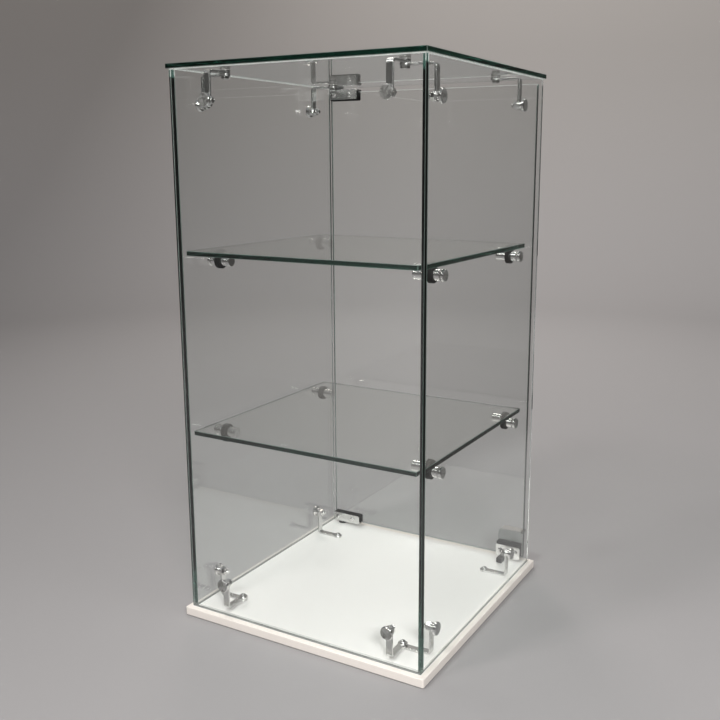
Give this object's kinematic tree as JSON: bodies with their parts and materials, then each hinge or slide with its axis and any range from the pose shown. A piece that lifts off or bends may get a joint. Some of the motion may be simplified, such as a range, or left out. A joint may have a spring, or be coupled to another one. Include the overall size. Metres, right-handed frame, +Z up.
{
  "type": "glass display case",
  "caption": "Upright frameless glass case on a white board, with glass shelves on pegs, bent chrome corner arms and a pivoted, lockable glass back door.",
  "frame": {"origin": "centre of the glass box on plan, on the underside of the base board", "axes": "+X to the right seen from the front, +Y to the back where the door is, +Z up"},
  "size_m": [0.308, 0.3222, 0.612],
  "materials": {
    "white_laminate": "satin white laminate",
    "clear_glass": "clear float glass with polished green edges",
    "polished_chrome": "polished",
    "plated_steel": "bright plated",
    "black_rubber": "matt",
    "black_plastic": "matt"
  },
  "bodies": {
    "case": {"base_board": "white_laminate", "front_panel": "clear_glass", "left_panel": "clear_glass", "right_panel": "clear_glass", "top_panel": "clear_glass", "low_arm_front_left": "polished_chrome", "low_arm_front_right": "polished_chrome", "low_arm_left_front": "polished_chrome", "low_arm_right_front": "polished_chrome", "low_arm_left_back": "polished_chrome", "low_arm_right_back": "polished_chrome", "high_arm_front_left": "polished_chrome", "high_arm_front_right": "polished_chrome", "high_arm_left_front": "polished_chrome", "high_arm_right_front": "polished_chrome", "high_arm_left_back": "polished_chrome", "high_arm_right_back": "polished_chrome", "front_panel_studs": "polished_chrome", "left_panel_studs": "polished_chrome", "right_panel_studs": "polished_chrome", "front_panel_nuts": "polished_chrome", "left_panel_nuts": "polished_chrome", "right_panel_nuts": "polished_chrome", "top_panel_studs": "polished_chrome", "top_panel_nuts": "polished_chrome", "base_screws": "plated_steel", "upper_peg_pads": "polished_chrome", "upper_pegs": "polished_chrome", "upper_peg_rings": "black_rubber", "lower_peg_pads": "polished_chrome", "lower_pegs": "polished_chrome", "lower_peg_rings": "black_rubber", "high_pivot_bush": "black_plastic", "low_pivot_bush": "black_plastic", "door_stop": "black_plastic"},
    "door": {"door_panel": "clear_glass", "high_hinge_clamp": "polished_chrome", "high_hinge_liner": "black_rubber", "high_hinge_screws": "plated_steel", "high_pivot_pin": "plated_steel", "low_hinge_clamp": "polished_chrome", "low_hinge_liner": "black_rubber", "low_hinge_screws": "plated_steel", "low_pivot_pin": "plated_steel", "lock_body": "polished_chrome", "lock_liner": "black_rubber", "lock_screws": "plated_steel", "lock_barrel": "polished_chrome"},
    "upper_shelf": {"upper_shelf": "clear_glass"},
    "lower_shelf": {"lower_shelf": "clear_glass"},
    "lock_plug": {"lock_plug": "plated_steel"},
    "lock_bolt": {"lock_bolt": "plated_steel"}
  },
  "joints": [
    {"name": "door_swing", "type": "hinge", "parent": "case", "child": "door", "pos_m": [-0.128, 0.1475, 0.0125], "axis": [0, 0, 1], "range_deg": [0, 120]},
    {"name": "upper_shelf_lift", "type": "slide", "parent": "case", "child": "upper_shelf", "axis": [0, 0, 1], "range_m": [0, 0.05]},
    {"name": "lower_shelf_lift", "type": "slide", "parent": "case", "child": "lower_shelf", "axis": [0, 0, 1], "range_m": [0, 0.05]},
    {"name": "lock_turn", "type": "hinge", "parent": "door", "child": "lock_plug", "pos_m": [0.12, 0.1642, 0.0345], "axis": [0, 1, 0], "range_deg": [0, 90]},
    {"name": "bolt_throw", "type": "slide", "parent": "door", "child": "lock_bolt", "axis": [0, 0, -1], "range_m": [0, 0.007]}
  ],
  "couplings": [
    {"joint": "lock_turn", "follows": "bolt_throw", "rad_per_m": 224.3}
  ]
}
